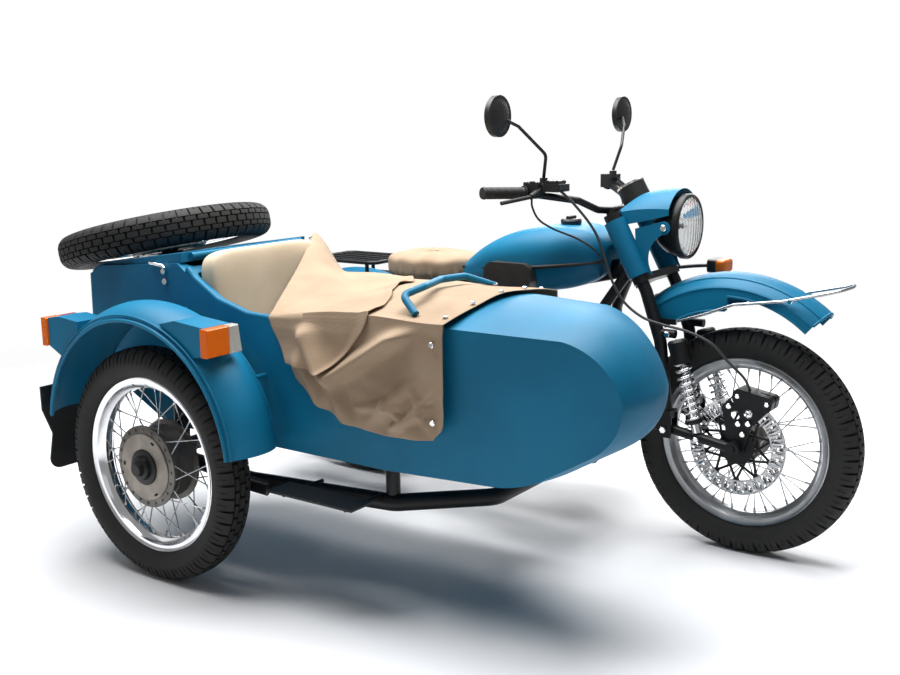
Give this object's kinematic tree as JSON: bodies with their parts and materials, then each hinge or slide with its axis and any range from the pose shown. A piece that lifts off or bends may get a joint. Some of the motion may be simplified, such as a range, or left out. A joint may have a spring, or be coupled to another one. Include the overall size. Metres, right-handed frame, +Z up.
{
  "type": "sidecar motorcycle",
  "caption": "Sidecar motorcycle with a leading-link fork, boxer engine, spoked wheels, open sidecar tub under a canvas tonneau and a spare wheel on its trunk lid.",
  "frame": {"origin": "on the floor, below the middle of the machine", "axes": "+X forwards, +Y to the rider's left, +Z up"},
  "size_m": [2.414, 1.673, 1.3726],
  "materials": {
    "blue_enamel": "matt teal blue enamel",
    "black_enamel": "satin black enamel",
    "cast_aluminium": "sand cast, bare",
    "polished_rim": "polished rim with steel spokes",
    "steel": "zinc plated",
    "tyre_rubber": "moulded block tread",
    "moulded_black": "moulded",
    "soft_rubber": "moulded",
    "canvas": "woven cotton canvas, beige",
    "seat_cloth": "beige coated seat cloth",
    "lamp_plastic": "amber and clear lens plastic",
    "lamp_glass": "fluted lens",
    "exhaust_steel": "black coated pipes",
    "ribbed_pad": "ribbed pads"
  },
  "bodies": {
    "chassis": {"air_box": "moulded_black", "carburettors": "cast_aluminium", "cylinders": "cast_aluminium", "engine_case": "cast_aluminium", "exhaust": "exhaust_steel", "final_drive": "black_enamel", "foot_controls": "black_enamel", "fuel_tank": "blue_enamel", "grab_rail": "blue_enamel", "lamp_housings": "blue_enamel", "motorcycle_frame": "black_enamel", "mudflap": "soft_rubber", "rear_fender": "blue_enamel", "rear_rack": "black_enamel", "rear_shocks": "steel", "rider_saddle": "canvas", "side_step": "black_enamel", "sidecar_fender": "blue_enamel", "sidecar_frame": "black_enamel", "sidecar_hull": "blue_enamel", "sidecar_seat": "seat_cloth", "sidecar_suspension": "black_enamel", "signal_lamps": "lamp_plastic", "tank_fittings": "ribbed_pad", "tonneau_cover": "canvas"},
    "fork": {"fork": "black_enamel", "fork_shrouds": "blue_enamel", "leading_link": "black_enamel", "front_shocks": "steel", "brake_caliper": "black_enamel", "front_fender": "blue_enamel", "fender_rail": "steel", "headlight_shell": "black_enamel", "headlight_lens": "lamp_glass", "headlight_cowl": "blue_enamel", "instrument": "moulded_black", "handlebar": "black_enamel", "hand_controls": "soft_rubber", "mirrors": "moulded_black", "turn_signals": "lamp_plastic", "brake_hose": "soft_rubber"},
    "front_wheel": {"front_tyre": "tyre_rubber", "front_wheel": "polished_rim", "brake_disc": "steel"},
    "rear_wheel": {"rear_tyre": "tyre_rubber", "rear_wheel": "polished_rim"},
    "sidecar_wheel": {"sidecar_tyre": "tyre_rubber", "sidecar_wheel": "polished_rim"},
    "trunk_lid": {"trunk_lid": "blue_enamel", "spare_carrier": "black_enamel", "spare_tyre": "tyre_rubber", "spare_wheel": "polished_rim"},
    "centre_stand": {"centre_stand": "black_enamel"}
  },
  "joints": [
    {"name": "steering", "type": "hinge", "parent": "chassis", "child": "fork", "pos_m": [0.46627, 0.3765, 0.88], "axis": [-0.4695, 0, 0.8829], "range_deg": [-38, 38]},
    {"name": "front_wheel_spin", "type": "hinge", "parent": "fork", "child": "front_wheel", "pos_m": [0.86327, 0.3765, 0.343], "axis": [0, 1, 0], "continuous": true},
    {"name": "rear_wheel_spin", "type": "hinge", "parent": "chassis", "child": "rear_wheel", "pos_m": [-0.63673, 0.3765, 0.343], "axis": [0, 1, 0], "continuous": true},
    {"name": "sidecar_wheel_spin", "type": "hinge", "parent": "chassis", "child": "sidecar_wheel", "pos_m": [-0.47073, -0.7435, 0.343], "axis": [0, 1, 0], "continuous": true},
    {"name": "trunk_lid_hinge", "type": "hinge", "parent": "chassis", "child": "trunk_lid", "pos_m": [-0.47873, -0.336, 0.926], "axis": [0, 1, 0], "range_deg": [0, 60]},
    {"name": "centre_stand_hinge", "type": "hinge", "parent": "chassis", "child": "centre_stand", "pos_m": [-0.15273, 0.3765, 0.262], "axis": [0, -1, 0], "range_deg": [0, 90], "stiffness_Nm_per_rad": 6, "springref_deg": -68.75}
  ]
}
